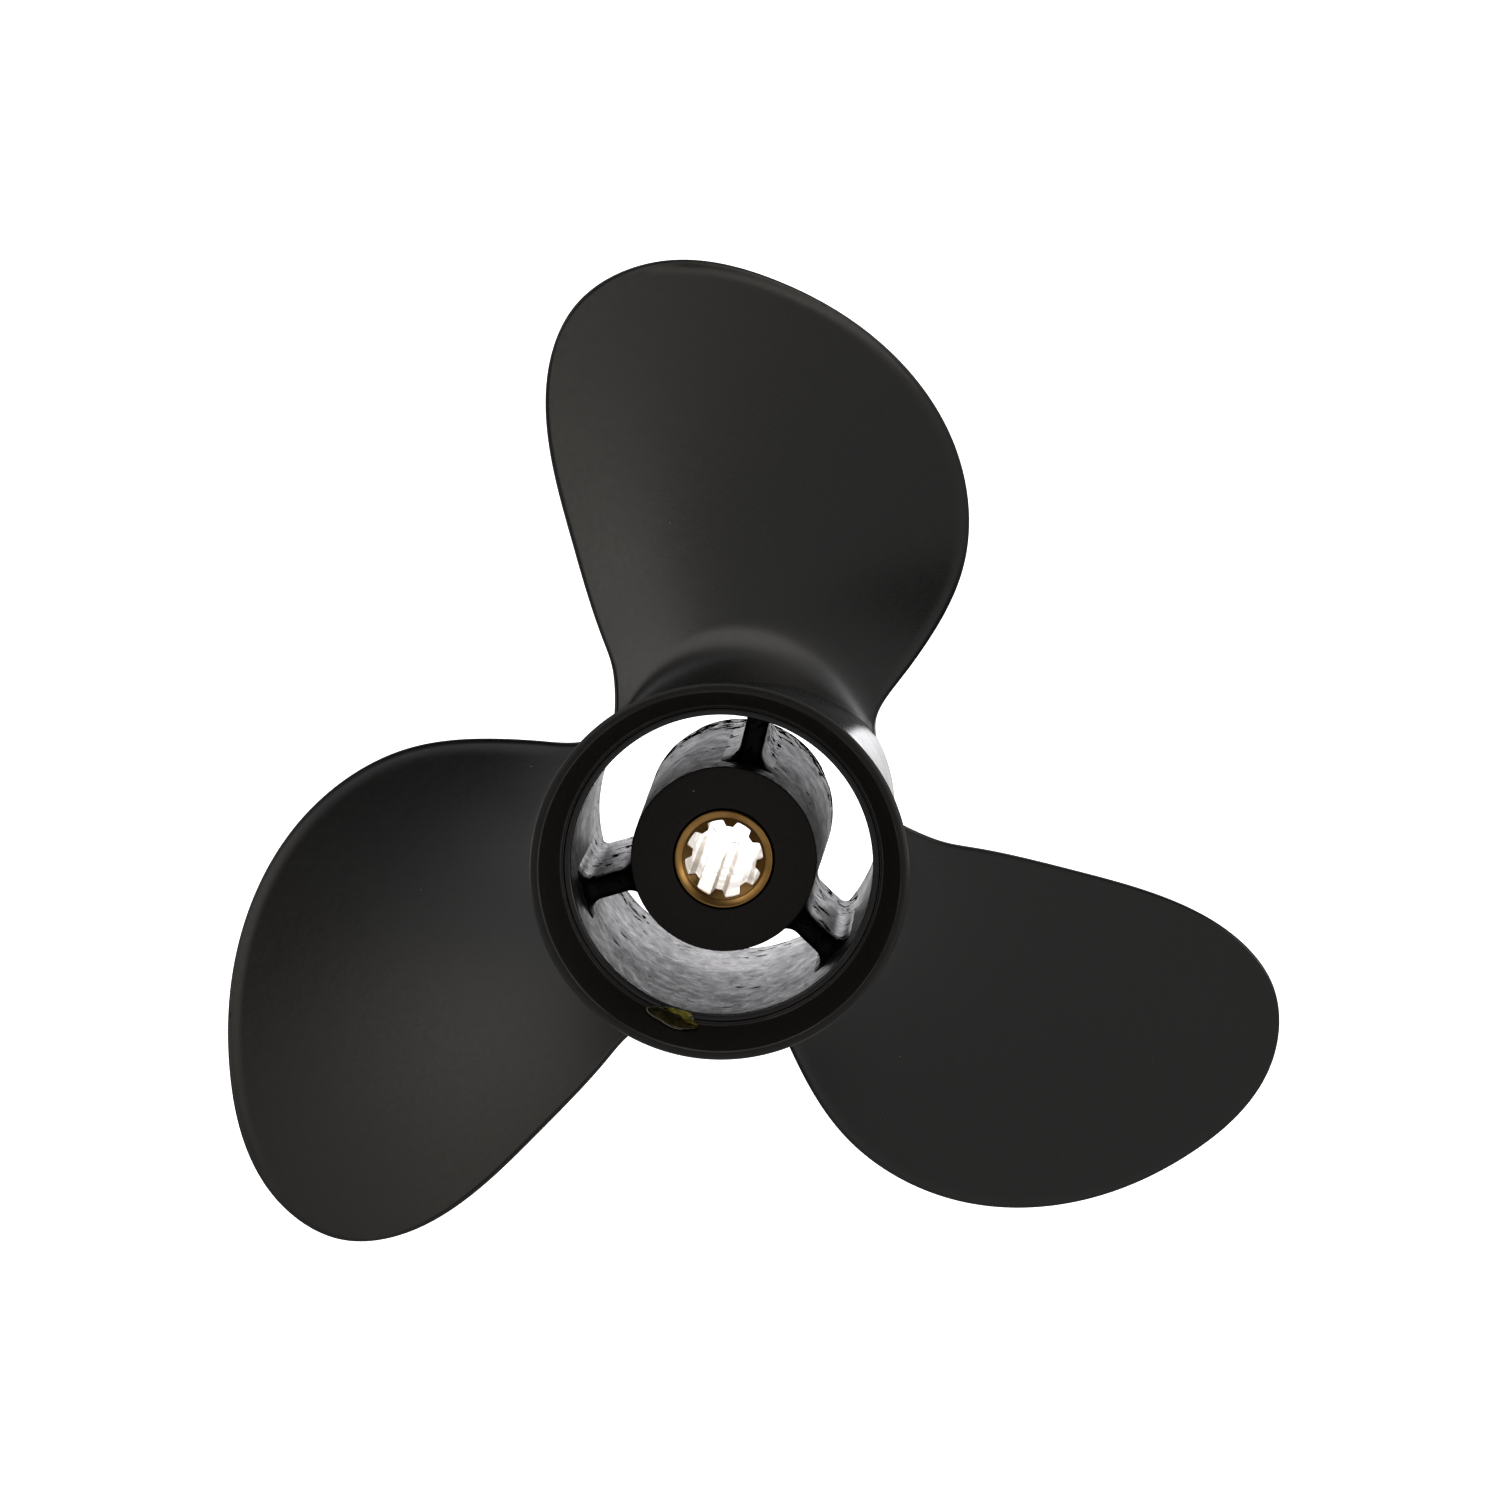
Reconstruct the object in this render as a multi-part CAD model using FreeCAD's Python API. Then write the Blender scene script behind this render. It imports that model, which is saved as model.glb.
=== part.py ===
import FreeCAD, Part
import math
import os

# Right-hand, three-blade outboard propeller with exhaust through the hub.
# Millimetres and degrees. The shaft axis is Y and +Y points forward, towards the gearcase.
# Z is up, X is to the right as seen from astern, and the origin is on the shaft axis.
# Blade angles turn clockwise as seen from astern, from +Z towards +X.

# Blades
BLADE_COUNT = 3
TIP_RADIUS = 117.5
PITCH = 235.0
RAKE_ROOT, RAKE_SLOPE, RAKE_CURVE = 6.2, -0.126, 0.00056
THICK_ROOT, THICK_TIP, THICK_EDGE = 8.5, 2.3, 1.5
THICK_POWER, THICK_REACH = 0.75, 1.05
TRAIL_ANGLE, TRAIL_SLOPE = -34.5, 0.19
LEAD_ANGLE, LEAD_CURVE = 53.4, 0.0071
FILLET_AFT, FILLET_FRONT, FILLET_EDGE = 12.0, 7.0, 3.0
EDGE_ROUND = 0.6
SLAB_RADII = [30.0, 32.5, 33.5, 35.0, 37.0, 40.0, 44.0, 50.0, 62.0, 76.0, 91.0, 106.0, 121.0]
SLAB_CHORDS = 14
SLAB_MARGIN = 0.1
SLAB_SEW = 0.001
PRISM_LOW = -60.0
# Outline as (radius, angle), from the trailing root over the tip to the leading root
OUTLINE = (
    (28.5, -46.0), (32.6, -39.6), (35.0, -37.0), (38.0, -34.4), (43.0, -32.2), (49.0, -30.7),
    (69.0, -26.8), (89.0, -23.7), (103.5, -20.1), (112.5, -15.8), (TIP_RADIUS, -7.6),
    (112.5, 4.8), (103.5, 16.5), (89.0, 29.9), (69.0, 41.6), (52.0, 47.2), (42.5, 50.0),
    (37.0, 52.3), (34.2, 54.6), (32.0, 57.6), (28.5, 62.0),
)

# Exhaust barrel
BARREL_FRONT, BARREL_AFT = 47.0, -38.6
BARREL_OUT_FRONT, BARREL_OUT_AFT = 31.4, 32.8
BARREL_IN_FRONT, BARREL_IN_AFT = 28.9, 29.9
MOUTH_RADIUS, MOUTH_LENGTH = 29.2, 4.0
SPIGOT_RADIUS, SPIGOT_FRONT = 31.3, -27.6
EDGE_CHAMFER = 0.6
BLADE_FRONT_LIMIT = 46.0
CORE_REACH = 70.0

# Diffuser ring
RING_RADIUS, RING_CREST_RADIUS = 37.45, 35.5
RING_AFT = -48.6
RING_CREST_IN, RING_LIP_OUT, RING_WIDEST_IN = 0.5, 1.1, 1.4
RING_WAIST_OUT, RING_WAIST_IN = 1.3, 10.5
RING_THROAT_LAP = 0.3

# Inner hub, bush and sleeve
HUB_FRONT, HUB_AFT = 42.6, -30.1
HUB_OUT_FRONT, HUB_OUT_AFT = 18.9, 18.5
HUB_BORE, HUB_WALL, HUB_EYE = 15.3, 3.5, 10.1
RUNNING_GAP = 0.06
BUSH_FRONT = 38.5
BUSH_END_GAP = 0.3
SLEEVE_RADIUS = 9.8
SLEEVE_FRONT, SLEEVE_AFT = 42.9, -30.4
SLEEVE_CHAMFER = 0.4

# Shaft spline inside the sleeve
TEETH = 8
SPLINE_MAJOR, SPLINE_MINOR = 7.75, 6.4
GROOVE_HALF, TOOTH_HALF = 11.0, 5.5
FIRST_GROOVE = 32.2
SPLINE_ROUND = 0.45
SPLINE_OVERRUN = 1.0
AFT_LEAD_RADIUS, AFT_LEAD_DEPTH = 8.2, 1.4
FRONT_LEAD_RADIUS, FRONT_LEAD_DEPTH = 8.8, 3.0

# Ribs
RIB_COUNT = 3
RIB_FIRST = 13.5
RIB_THICK = 4.5
RIB_FRONT, RIB_AFT = 33.0, -20.0
RIB_FLARE = 3.0
RIB_SINK = 1.1
RIB_OVERRUN = 3.0
RIB_ROUND = 1.6

AXIS = FreeCAD.Vector(0, 1, 0)
ORIGIN = FreeCAD.Vector(0, 0, 0)


def polar(radius, angle, y=0.0):
    """Point at a radius and a clockwise angle from +Z, at an axial place."""
    turn = math.radians(angle)
    return FreeCAD.Vector(radius * math.sin(turn), y, radius * math.cos(turn))


def turned(profile):
    """Solid of revolution about the shaft axis from (radius, y) corners."""
    points = [FreeCAD.Vector(radius, y, 0) for radius, y in profile]
    face = Part.Face(Part.makePolygon(points + points[:1]))
    return face.revolve(ORIGIN, AXIS, 360)


def turned_edges(edges):
    """Solid of revolution from edges that close a profile in the XY plane."""
    return Part.Face(Part.Wire(edges)).revolve(ORIGIN, AXIS, 360)


def barrel_outside(y):
    """Outer radius of the barrel's gentle cone."""
    share = (BARREL_FRONT - y) / (BARREL_FRONT - SPIGOT_FRONT)
    return BARREL_OUT_FRONT + share * (BARREL_OUT_AFT - BARREL_OUT_FRONT)


def barrel_inside(y):
    """Inner radius of the barrel's gentle cone."""
    share = (BARREL_FRONT - y) / (BARREL_FRONT - BARREL_AFT)
    return BARREL_IN_FRONT + share * (BARREL_IN_AFT - BARREL_IN_FRONT)


def hub_outside(y):
    """Outer radius of the inner hub, with its casting draft."""
    share = (HUB_FRONT - y) / (HUB_FRONT - HUB_AFT)
    return HUB_OUT_FRONT + share * (HUB_OUT_AFT - HUB_OUT_FRONT)


def exhaust_barrel():
    """Outer tube: a mouth for the gearcase in front and a spigot for the ring behind."""
    mouth_end = BARREL_FRONT - MOUTH_LENGTH
    return turned([
        (MOUTH_RADIUS, BARREL_FRONT),
        (BARREL_OUT_FRONT - EDGE_CHAMFER, BARREL_FRONT),
        (barrel_outside(BARREL_FRONT - EDGE_CHAMFER), BARREL_FRONT - EDGE_CHAMFER),
        (BARREL_OUT_AFT, SPIGOT_FRONT),
        (SPIGOT_RADIUS, SPIGOT_FRONT),
        (SPIGOT_RADIUS, BARREL_AFT),
        (BARREL_IN_AFT + EDGE_CHAMFER, BARREL_AFT),
        (barrel_inside(BARREL_AFT + EDGE_CHAMFER), BARREL_AFT + EDGE_CHAMFER),
        (barrel_inside(mouth_end), mouth_end),
        (MOUTH_RADIUS, mouth_end),
    ])


def diffuser_ring():
    """Flared ring pressed over the barrel's spigot; its lip is round and its throat conical."""
    def at(radius, y):
        return FreeCAD.Vector(radius, y, 0)
    front_out = at(BARREL_OUT_AFT, SPIGOT_FRONT)
    front_in = at(SPIGOT_RADIUS, SPIGOT_FRONT)
    seat_end = at(SPIGOT_RADIUS, BARREL_AFT - RING_THROAT_LAP)
    crest = at(RING_CREST_RADIUS, RING_AFT + RING_CREST_IN)
    lip = at(RING_CREST_RADIUS + RING_LIP_OUT, RING_AFT)
    widest = at(RING_RADIUS, RING_AFT + RING_WIDEST_IN)
    waist = at(BARREL_OUT_AFT + RING_WAIST_OUT, RING_AFT + RING_WAIST_IN)
    return turned_edges([
        Part.makeLine(front_out, front_in),
        Part.makeLine(front_in, seat_end),
        Part.makeLine(seat_end, crest),
        Part.Arc(crest, lip, widest).toShape(),
        Part.Arc(widest, waist, front_out).toShape(),
    ])


def inner_hub():
    """Tube that holds the rubber bush, with an end wall and an eye for the sleeve behind."""
    return turned([
        (HUB_BORE + EDGE_CHAMFER, HUB_FRONT),
        (HUB_OUT_FRONT - EDGE_CHAMFER, HUB_FRONT),
        (HUB_OUT_FRONT, HUB_FRONT - EDGE_CHAMFER),
        (HUB_OUT_AFT, HUB_AFT + EDGE_CHAMFER),
        (HUB_OUT_AFT - EDGE_CHAMFER, HUB_AFT),
        (HUB_EYE, HUB_AFT),
        (HUB_EYE, HUB_AFT + HUB_WALL),
        (HUB_BORE, HUB_AFT + HUB_WALL),
        (HUB_BORE, HUB_FRONT - EDGE_CHAMFER),
    ])


def exhaust_passage():
    """The ring of open space between the inner hub and the barrel."""
    return turned([
        (hub_outside(HUB_FRONT), HUB_FRONT - EDGE_CHAMFER),
        (barrel_inside(HUB_FRONT), HUB_FRONT),
        (barrel_inside(HUB_AFT), HUB_AFT),
        (HUB_OUT_AFT, HUB_AFT + EDGE_CHAMFER),
    ])


def rib(passage):
    """First rib, from hub to barrel, flared at both roots and rounded at both ends."""
    half = RIB_THICK / 2
    inner = HUB_OUT_AFT - RIB_SINK
    outer = BARREL_IN_AFT
    sweep = RIB_FLARE * (1 - math.sqrt(0.5))

    def at(side, radius):
        return FreeCAD.Vector(side, RIB_AFT, radius)

    edges = []
    for sign in (1, -1):
        wide = sign * (half + RIB_FLARE)
        edges.append(Part.makeLine(at(wide, inner - RIB_OVERRUN), at(wide, inner)))
        edges.append(Part.Arc(at(wide, inner), at(sign * (half + sweep), inner + sweep),
                              at(sign * half, inner + RIB_FLARE)).toShape())
        edges.append(Part.makeLine(at(sign * half, inner + RIB_FLARE),
                                   at(sign * half, outer - RIB_FLARE)))
        edges.append(Part.Arc(at(sign * half, outer - RIB_FLARE),
                              at(sign * (half + sweep), outer - sweep), at(wide, outer)).toShape())
        edges.append(Part.makeLine(at(wide, outer), at(wide, outer + RIB_OVERRUN)))
    ends = half + RIB_FLARE
    edges.append(Part.makeLine(at(ends, inner - RIB_OVERRUN), at(-ends, inner - RIB_OVERRUN)))
    edges.append(Part.makeLine(at(ends, outer + RIB_OVERRUN), at(-ends, outer + RIB_OVERRUN)))
    face = Part.Face(Part.Wire(Part.__sortEdges__(edges)))
    bar = face.extrude(AXIS * (RIB_FRONT - RIB_AFT))
    rims = [e for e in bar.Edges if e.BoundBox.YLength < 1e-6 and e.BoundBox.XLength < ends]
    bar = bar.makeFillet(RIB_ROUND, rims)
    bar.rotate(ORIGIN, AXIS, RIB_FIRST)
    return bar.common(passage)


def rubber_bush():
    """Rubber bush between the sleeve and the hub's bore."""
    inside = SLEEVE_RADIUS + RUNNING_GAP
    outside = HUB_BORE - RUNNING_GAP
    aft = HUB_AFT + HUB_WALL + BUSH_END_GAP
    return turned([(inside, aft), (outside, aft), (outside, BUSH_FRONT), (inside, BUSH_FRONT)])


def spline_bar():
    """Solid of the same section as the spline bore, longer than the sleeve."""
    start = SLEEVE_AFT - SPLINE_OVERRUN
    step = 360 / TEETH
    edges = []
    for tooth in range(TEETH):
        middle = FIRST_GROOVE + tooth * step
        left = polar(SPLINE_MAJOR, middle - GROOVE_HALF, start)
        right = polar(SPLINE_MAJOR, middle + GROOVE_HALF, start)
        foot = polar(SPLINE_MINOR, middle + step / 2 - TOOTH_HALF, start)
        tip = polar(SPLINE_MINOR, middle + step / 2, start)
        far = polar(SPLINE_MINOR, middle + step / 2 + TOOTH_HALF, start)
        edges.append(Part.Arc(left, polar(SPLINE_MAJOR, middle, start), right).toShape())
        edges.append(Part.makeLine(right, foot))
        edges.append(Part.Arc(foot, tip, far).toShape())
        edges.append(Part.makeLine(far, polar(SPLINE_MAJOR, middle + step - GROOVE_HALF, start)))
    length = SLEEVE_FRONT - SLEEVE_AFT + 2 * SPLINE_OVERRUN
    bar = Part.Face(Part.Wire(edges)).extrude(AXIS * length)
    long_edges = [e for e in bar.Edges if e.BoundBox.YLength > length / 2]
    return bar.makeFillet(SPLINE_ROUND, long_edges)


def splined_sleeve():
    """Bronze sleeve with an eight-tooth spline and a lead-in cone at each end."""
    body = turned([
        (0, SLEEVE_AFT),
        (SLEEVE_RADIUS - SLEEVE_CHAMFER, SLEEVE_AFT),
        (SLEEVE_RADIUS, SLEEVE_AFT + SLEEVE_CHAMFER),
        (SLEEVE_RADIUS, SLEEVE_FRONT - SLEEVE_CHAMFER),
        (SLEEVE_RADIUS - SLEEVE_CHAMFER, SLEEVE_FRONT),
        (0, SLEEVE_FRONT),
    ])
    aft_lead = turned([(0, SLEEVE_AFT), (AFT_LEAD_RADIUS, SLEEVE_AFT),
                       (SPLINE_MINOR, SLEEVE_AFT + AFT_LEAD_DEPTH),
                       (0, SLEEVE_AFT + AFT_LEAD_DEPTH)])
    front_lead = turned([(0, SLEEVE_FRONT - FRONT_LEAD_DEPTH),
                         (SPLINE_MINOR, SLEEVE_FRONT - FRONT_LEAD_DEPTH),
                         (FRONT_LEAD_RADIUS, SLEEVE_FRONT), (0, SLEEVE_FRONT)])
    return body.cut(spline_bar()).cut(aft_lead).cut(front_lead)


def base_y(radius, angle):
    """Axial place of the blade's helical base surface, raked aft towards the tip."""
    out = radius - BARREL_OUT_AFT
    return PITCH * angle / 360 + RAKE_ROOT + RAKE_SLOPE * out + RAKE_CURVE * out * out


def root_spread(radius, fullness, middle_size):
    """How far the root fillet spreads the blade at a radius; fullness is 1 at mid-chord."""
    size = FILLET_EDGE + (middle_size - FILLET_EDGE) * fullness
    up = min(max((radius - BARREL_OUT_AFT) / size, 0), 1)
    return size * (1 - math.sqrt(1 - (1 - up) ** 2))


def slab_point(radius, chord, forward):
    """Point of the blade's aft or forward face; chord is 0 at the trailing edge, 1 at the leading."""
    out = radius - BARREL_OUT_AFT
    trailing = TRAIL_ANGLE + TRAIL_SLOPE * out
    leading = LEAD_ANGLE - LEAD_CURVE * out * out
    angle = trailing + chord * (leading - trailing)
    fullness = max(4 * chord * (1 - chord), 0)
    share = min(max(out / (TIP_RADIUS - BARREL_OUT_AFT), 0), THICK_REACH)
    thick = THICK_ROOT + (THICK_TIP - THICK_ROOT) * share ** THICK_POWER
    lean = math.cos(math.atan(PITCH / (2 * math.pi * radius)))
    y = base_y(radius, angle)
    if forward:
        section = THICK_EDGE + (thick - THICK_EDGE) * fullness
        return polar(radius, angle, y + (section + root_spread(radius, fullness, FILLET_FRONT)) / lean)
    return polar(radius, angle, y - root_spread(radius, fullness, FILLET_AFT) / lean)


def spline_through(points, places):
    """Smooth curve that passes each point at its own parameter."""
    curve = Part.BSplineCurve()
    curve.interpolate(Points=points, Parameters=places)
    return curve


def slab_face(forward):
    """Smooth surface through the blade's stations, curve by curve along and then across."""
    steps = [i / (SLAB_CHORDS - 1) for i in range(SLAB_CHORDS)]
    chords = [-SLAB_MARGIN + step * (1 + 2 * SLAB_MARGIN) for step in steps]
    along = []
    for radius in SLAB_RADII:
        points = [slab_point(radius, chord, forward) for chord in chords]
        along.append(spline_through(points, chords))
    columns = zip(*[curve.getPoles() for curve in along])
    across = [spline_through(list(column), SLAB_RADII) for column in columns]
    surface = Part.BSplineSurface()
    surface.buildFromPolesMultsKnots(
        [curve.getPoles() for curve in across],
        along[0].getMultiplicities(), across[0].getMultiplicities(),
        along[0].getKnots(), across[0].getKnots(), False, False, 3, 3)
    return surface


def blade(core):
    """First blade: a twisted slab trimmed to the outline and the barrel, with a rounded rim."""
    aft, front = slab_face(False), slab_face(True)
    sides = []
    first_u, last_u, first_v, last_v = aft.bounds()
    for place in (first_u, last_u):
        sides.append(Part.makeRuledSurface(aft.uIso(place).toShape(), front.uIso(place).toShape(), 1))
    for place in (first_v, last_v):
        sides.append(Part.makeRuledSurface(aft.vIso(place).toShape(), front.vIso(place).toShape(), 1))
    shell = Part.Compound([aft.toShape(), front.toShape()] + sides)
    shell.sewShape(SLAB_SEW)
    slab = Part.makeSolid(shell.Shells[0])
    points = [polar(radius, angle, PRISM_LOW) for radius, angle in OUTLINE]
    edge = Part.BSplineCurve()
    edge.interpolate(points)
    wire = Part.Wire([edge.toShape(), Part.makeLine(points[-1], points[0])])
    prism = Part.Face(wire).extrude(AXIS * (BLADE_FRONT_LIMIT - PRISM_LOW))
    shape = slab.common(prism).cut(core).Solids[0]
    rims = [rim for rim in shape.Edges if rim.Length > TIP_RADIUS]
    return shape.makeFillet(EDGE_ROUND, rims).Solids[0]


def barrel_core():
    """Solid inside the barrel's outer surface, which trims the blades' roots."""
    return turned([(0, -CORE_REACH), (barrel_outside(-CORE_REACH), -CORE_REACH),
                   (barrel_outside(CORE_REACH), CORE_REACH), (0, CORE_REACH)])


def write(name, shape):
    """One checked solid to its own file."""
    if len(shape.Solids) != 1 or not shape.isValid():
        raise ValueError(name + " is not one valid solid")
    solid = shape.Solids[0]
    solid.exportStep("parts/" + name + ".step")
    print(name, round(solid.Volume / 1000, 2), "cm3")


def main():
    os.makedirs("parts", exist_ok=True)
    write("exhaust_barrel", exhaust_barrel())
    write("diffuser_ring", diffuser_ring())
    write("inner_hub", inner_hub())
    write("rubber_bush", rubber_bush())
    write("splined_sleeve", splined_sleeve())
    first_rib = rib(exhaust_passage())
    for index in range(RIB_COUNT):
        turned_rib = first_rib.copy()
        turned_rib.rotate(ORIGIN, AXIS, index * 360 / RIB_COUNT)
        write("rib_" + str(index + 1), turned_rib)
    first_blade = blade(barrel_core())
    for index in range(BLADE_COUNT):
        turned_blade = first_blade.copy()
        turned_blade.rotate(ORIGIN, AXIS, index * 360 / BLADE_COUNT)
        write("blade_" + str(index + 1), turned_blade)


main()
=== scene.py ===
import math
import bmesh
import bpy
import numpy as np
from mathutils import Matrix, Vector, noise


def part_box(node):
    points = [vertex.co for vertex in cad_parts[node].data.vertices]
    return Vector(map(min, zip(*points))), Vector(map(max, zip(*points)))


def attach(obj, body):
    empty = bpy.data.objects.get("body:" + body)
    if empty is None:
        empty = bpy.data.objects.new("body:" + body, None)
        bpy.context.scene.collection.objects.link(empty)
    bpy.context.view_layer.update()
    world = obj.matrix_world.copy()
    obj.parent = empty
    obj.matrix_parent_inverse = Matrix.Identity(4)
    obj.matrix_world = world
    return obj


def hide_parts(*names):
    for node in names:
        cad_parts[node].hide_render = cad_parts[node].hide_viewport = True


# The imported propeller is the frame. Its shaft axis is Y, +Y is forward, Z is up.
# Shapes are worked out in millimetres and made in metres.
MM = 0.001
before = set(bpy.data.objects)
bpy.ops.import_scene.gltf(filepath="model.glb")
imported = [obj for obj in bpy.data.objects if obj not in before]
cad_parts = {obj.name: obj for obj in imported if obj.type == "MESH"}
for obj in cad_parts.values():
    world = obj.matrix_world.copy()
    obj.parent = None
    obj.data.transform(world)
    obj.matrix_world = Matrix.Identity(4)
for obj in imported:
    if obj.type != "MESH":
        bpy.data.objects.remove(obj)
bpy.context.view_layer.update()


def node_box(node):
    """Lowest and highest corner of a CAD node in millimetres."""
    low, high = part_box(node)
    return [v / MM for v in low], [v / MM for v in high]


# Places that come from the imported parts
(_, BARREL_AFT, _), (_, BARREL_FRONT, _) = node_box("exhaust_barrel")
(_, RING_AFT, _), (RING_RADIUS, RING_FRONT, _) = node_box("diffuser_ring")
(_, HUB_AFT, _), (HUB_OUT_FRONT, HUB_FRONT, _) = node_box("inner_hub")
(_, BUSH_AFT, _), (BUSH_RADIUS, BUSH_FRONT, _) = node_box("rubber_bush")
(_, SLEEVE_AFT, _), (SLEEVE_RADIUS, SLEEVE_FRONT, _) = node_box("splined_sleeve")

# Driving dimensions shared with the CAD source, in millimetres and degrees
PITCH = 235.0
RAKE_ROOT, RAKE_SLOPE, RAKE_CURVE = 6.2, -0.126, 0.00056
THICK_ROOT, THICK_TIP, THICK_EDGE = 8.5, 2.3, 1.5
FILLET_AFT, FILLET_FRONT, FILLET_EDGE = 12.0, 7.0, 3.0
TIP_RADIUS = 117.5
TRAIL_ANGLE, TRAIL_SLOPE = -34.5, 0.19      # trailing edge against the distance from the barrel
LEAD_ANGLE, LEAD_CURVE = 53.4, 0.0071       # leading edge against that distance, squared
OUTLINE = (                                 # radius and clockwise angle round a blade
    (28.5, -48.0), (32.4, -43.5), (34.5, -40.6), (36.5, -37.8), (39.2, -35.0), (43.0, -32.4),
    (49.0, -30.7), (69.0, -26.8), (89.0, -23.7), (103.5, -20.1), (112.5, -15.8),
    (TIP_RADIUS, -7.6), (112.5, 4.8), (103.5, 16.5), (89.0, 29.9), (69.0, 41.6), (52.0, 47.2),
    (42.5, 50.0), (37.0, 52.3), (34.2, 54.8), (32.4, 58.2), (31.2, 62.5), (29.0, 68.0),
)
BARREL_OUT_FRONT, BARREL_OUT_AFT = 31.4, 32.8
BARREL_IN_FRONT, BARREL_IN_AFT = 28.9, 29.9
MOUTH_RADIUS, MOUTH_LENGTH = 29.2, 4.0
SPIGOT_RADIUS = 31.3
RING_CREST = 35.5
HUB_OUT_AFT = 18.5
HUB_BORE, HUB_WALL, HUB_EYE = 15.3, 3.5, 10.1
BUSH_INSIDE = 9.86
TEETH = 8
SPLINE_MAJOR, SPLINE_MINOR = 7.75, 6.4
FIRST_GROOVE = 32.2
RIB_FIRST, RIB_THICK, RIB_FRONT, RIB_AFT, RIB_FLARE = 13.5, 4.5, 33.0, -20.0, 3.0
RIB_CORNER = 1.8

# Finer shapes that only the visual model has
RIM_THICK, RIM_TAPER, RIM_REACH = 1.0, 6.0, 0.55    # blade rim: thickness, width of its taper, roundness
LEAD_ROLL, LEAD_ROLL_WIDTH = 0.5, 2.4               # aft face's roll-off at the leading edge
BLADE_ROOT = 30.6                                   # radius where a blade starts, in the barrel's wall
TIP_TRAIL, TIP_LEAD = 26, 34                        # lengths of rim from the tip to the grid's corners
ROOT_CROWD = 1.25                                   # power that draws the grid's rows towards the root
FLARE_OUT, FLARE_POWER, FLARE_END = 4.3, 2.2, 1.6   # growth of the ring's outside, and where it ends
SKIN_EDGE = 30.2                                    # radius between the barrel's inside and its outside
PIT_LIMIT, PIT_SPREAD, PIT_DEPTH = 0.62, 0.3, 1.6   # pits of the cast skin
PIT_START, PIT_ZONE = 18.0, 14.0                    # they thicken from here, over this length
LEAD_IN_RADIUS, LEAD_IN_DEPTH, LEAD_IN_SLOPE = 8.12, 0.6, 1.33   # cone at the sleeve's aft end
EXIT_RADIUS, EXIT_SLOPE = 8.8, 0.8                  # cone at its front end
GROOVE_HALF, TOOTH_FLANK = 10.5, 6.5                # half a groove and a tooth's flank, in degrees
SLEEVE_LIP = (                                      # radius and depth of the dished aft face
    (9.3, 0.02), (9.1, 0.08), (8.8, 0.19), (8.5, 0.32),
    (8.36, 0.39), (8.32, 0.41), (8.22, 0.50), (8.19, 0.54))
DROP_ANGLE, DROP_RADIUS = 197.3, 31.75              # place of the resin drop on the ring's throat
DROP_LONG, DROP_WIDE, DROP_HIGH = 4.9, 1.55, 0.85   # half length, half width and height

# Steps of the meshes
ROUND_STEPS, TOOTH_STEPS, ARC_STEPS = 384, 48, 6
BLADE_ACROSS, BLADE_UP, RIM_STEPS, OUTLINE_STEPS = 110, 130, 7, 2400
DROP_TURNS, DROP_LAYERS = 64, 14
MERGE_METRES = 1e-7

# Studio light as soft zones of the surroundings: direction, angles of its edge and its core
# in degrees, and strength in red, green and blue
SOFT_LIGHTS = (
    ((0, 1, 0.1), 95, 20, (0.2, 0.2, 0.2)),
    ((0, 1, 0.3), 118, 60, (0.4, 0.4, 0.4)),
    ((0, 1, 0.1), 25, 9, (2.0, 1.96, 2.04)),
    ((0.66, -0.75, 0.05), 24, 3, (1.50, 1.42, 1.28)),
    ((0.97, -0.2, 0.12), 34, 6, (1.50, 1.42, 1.34)),
    ((-0.35, -0.4, 0.85), 34, 4, (0.55, 0.55, 0.56)),
    ((-0.62, -0.62, 0.48), 32, 4, (0.86, 0.80, 0.72)),
    ((0.15, -0.1, 0.98), 28, 4, (0.5, 0.5, 0.5)),
)
FLOOR_LEVEL, FLOOR_SIDE = -0.5, 12.0
FLOOR_GLOW, FLOOR_GLOW_PLACES = (0.05, 1.0), (0.9, 1.8)    # glow near the object and far ahead of it
FLOOR_EXTRA, BACKDROP = 0.5, 1.05                          # glow that only the camera sees

# Camera, in degrees and metres
CAMERA_AZIMUTH, CAMERA_ELEVATION, CAMERA_DISTANCE = 2.65, 7.46, 2.307
CAMERA_AIM = (0.00383, 0.0, 0.01793)
CAMERA_SENSOR, CAMERA_LENS = 36.0, 275.8


# ---------------------------------------------------------------- mesh helpers

def make_piece(name, vertices, faces, body, nodes, materials, picks=None):
    """One smooth mesh piece from millimetre vertices, riding on a body."""
    mesh = bpy.data.meshes.new(name)
    mesh.from_pydata([tuple(v) for v in np.asarray(vertices) * MM], [], faces)
    for material in materials:
        mesh.materials.append(material)
    if picks is not None:
        mesh.polygons.foreach_set("material_index", picks)
    mesh.validate()
    work = bmesh.new()
    work.from_mesh(mesh)
    bmesh.ops.remove_doubles(work, verts=work.verts, dist=MERGE_METRES)
    bmesh.ops.recalc_face_normals(work, faces=work.faces)
    work.to_mesh(mesh)
    work.free()
    mesh.shade_smooth()
    piece = bpy.data.objects.new(name, mesh)
    bpy.context.scene.collection.objects.link(piece)
    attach(piece, body)
    if nodes:
        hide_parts(*nodes)
    return piece


def polar(radius, angle, y):
    """Points from radius, clockwise angle from +Z in degrees, and axial place."""
    turn = np.radians(angle)
    return np.stack([radius * np.sin(turn), y + 0 * turn, radius * np.cos(turn)], -1)


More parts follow.
